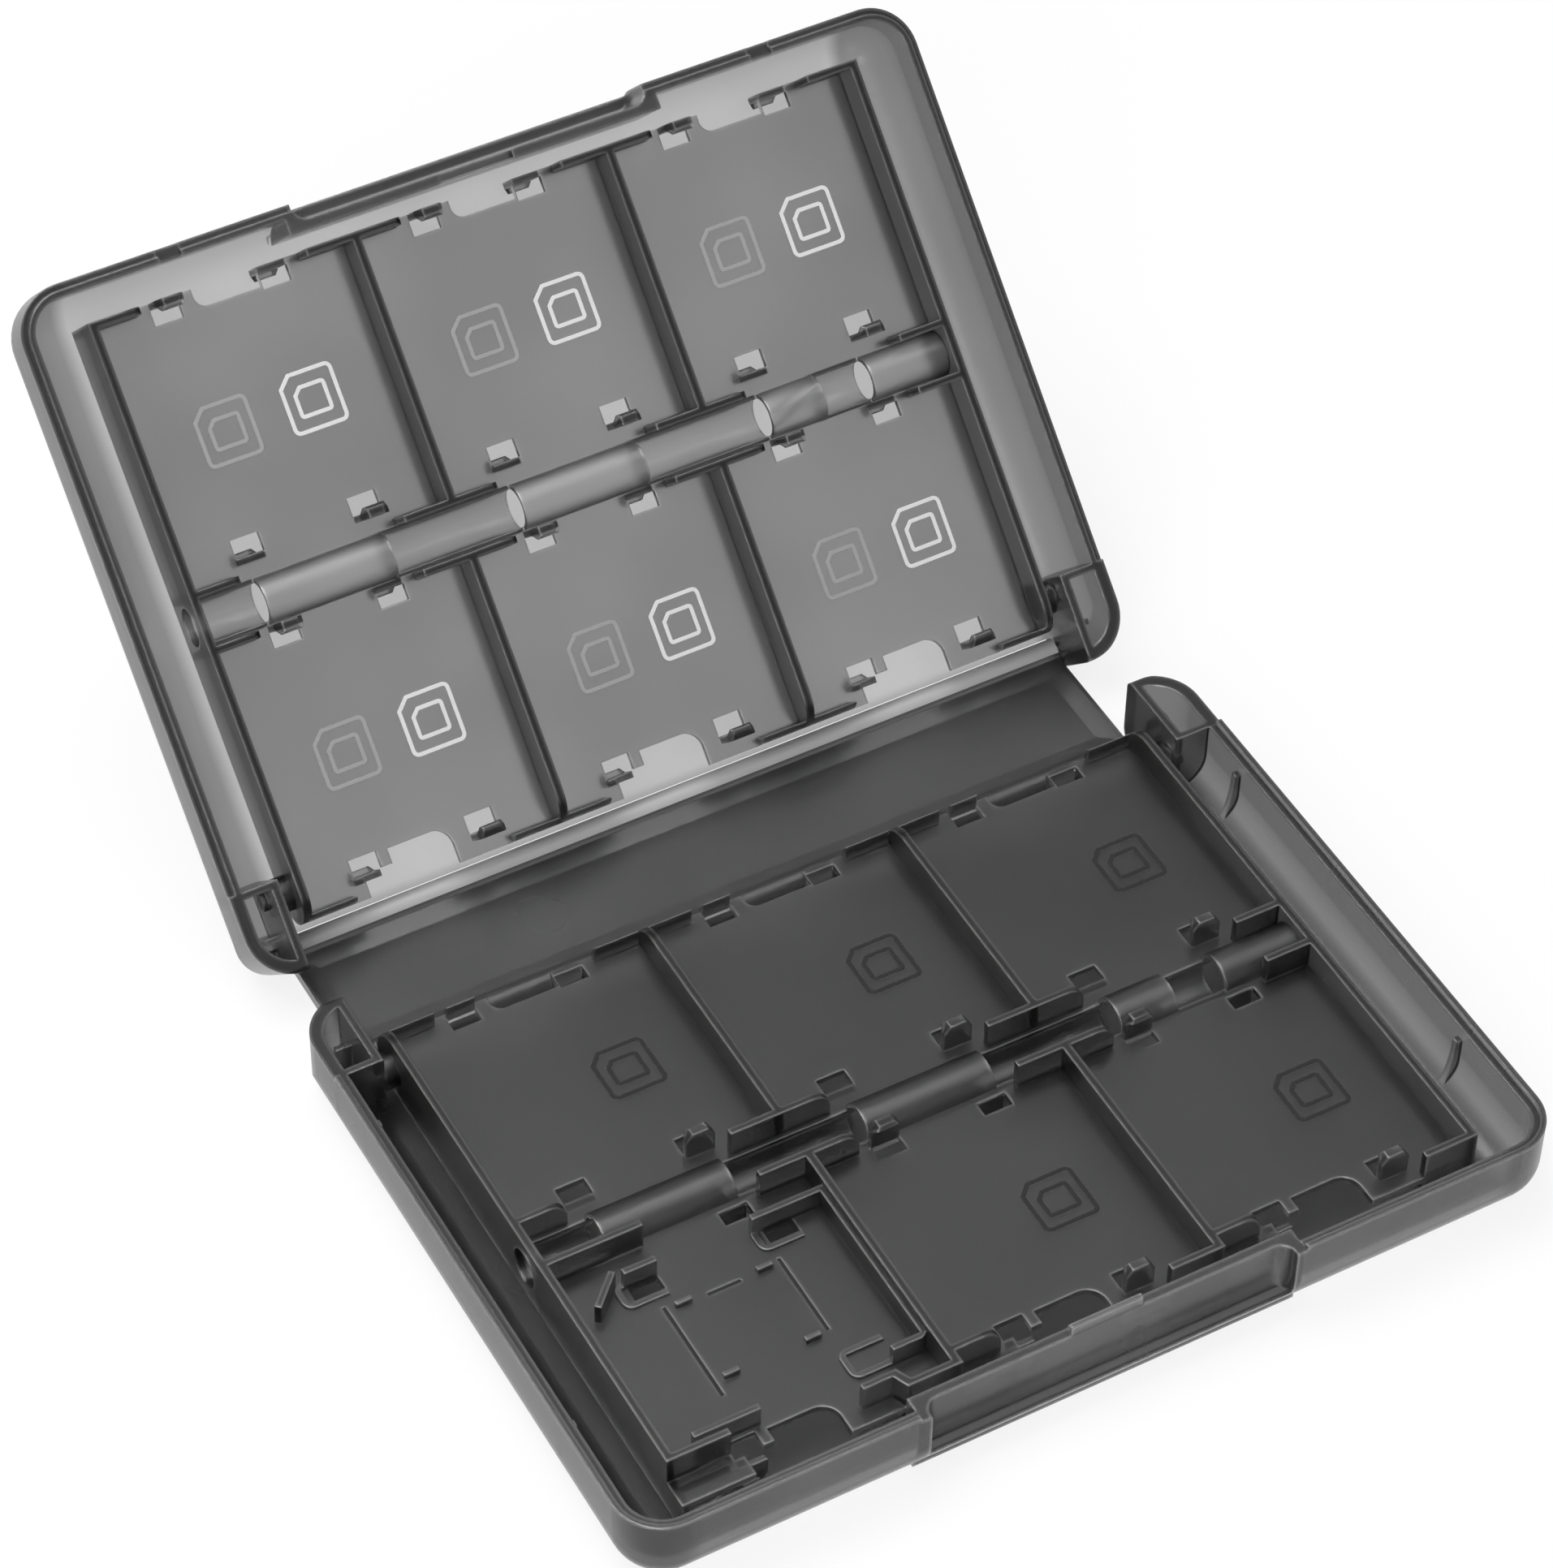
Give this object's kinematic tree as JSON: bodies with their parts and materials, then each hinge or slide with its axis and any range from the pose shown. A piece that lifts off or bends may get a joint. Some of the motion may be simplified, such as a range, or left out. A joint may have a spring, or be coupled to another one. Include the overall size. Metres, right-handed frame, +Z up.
{
  "type": "card storage case",
  "caption": "Folding translucent plastic storage case with hinged pages of pockets for small game cards and a place for a memory card.",
  "frame": {"origin": "on the table, under the middle of the base and below the axis of its page's tube", "axes": "+X along the spine, +Y from the front edge of the base towards the spine and lid, +Z up from the table"},
  "size_m": [0.1296, 0.1747, 0.0709],
  "materials": {
    "shell": "smoky translucent polystyrene, moulded, satin gloss",
    "page": "smoky translucent polystyrene, moulded, satin gloss"
  },
  "bodies": {
    "base": {"base_shell": "shell", "base_page": "page"},
    "spine": {"spine_panel": "shell"},
    "lid": {"lid_shell": "shell", "lid_page": "page"}
  },
  "joints": [
    {"name": "spine_hinge", "type": "hinge", "parent": "base", "child": "spine", "pos_m": [0, 0.0434, 0.0016], "axis": [1, 0, 0], "range_deg": [0, 90]},
    {"name": "lid_hinge", "type": "hinge", "parent": "spine", "child": "lid", "pos_m": [0, 0.064, 0.0016], "axis": [1, 0, 0], "range_deg": [-43.9, 46.1]}
  ]
}
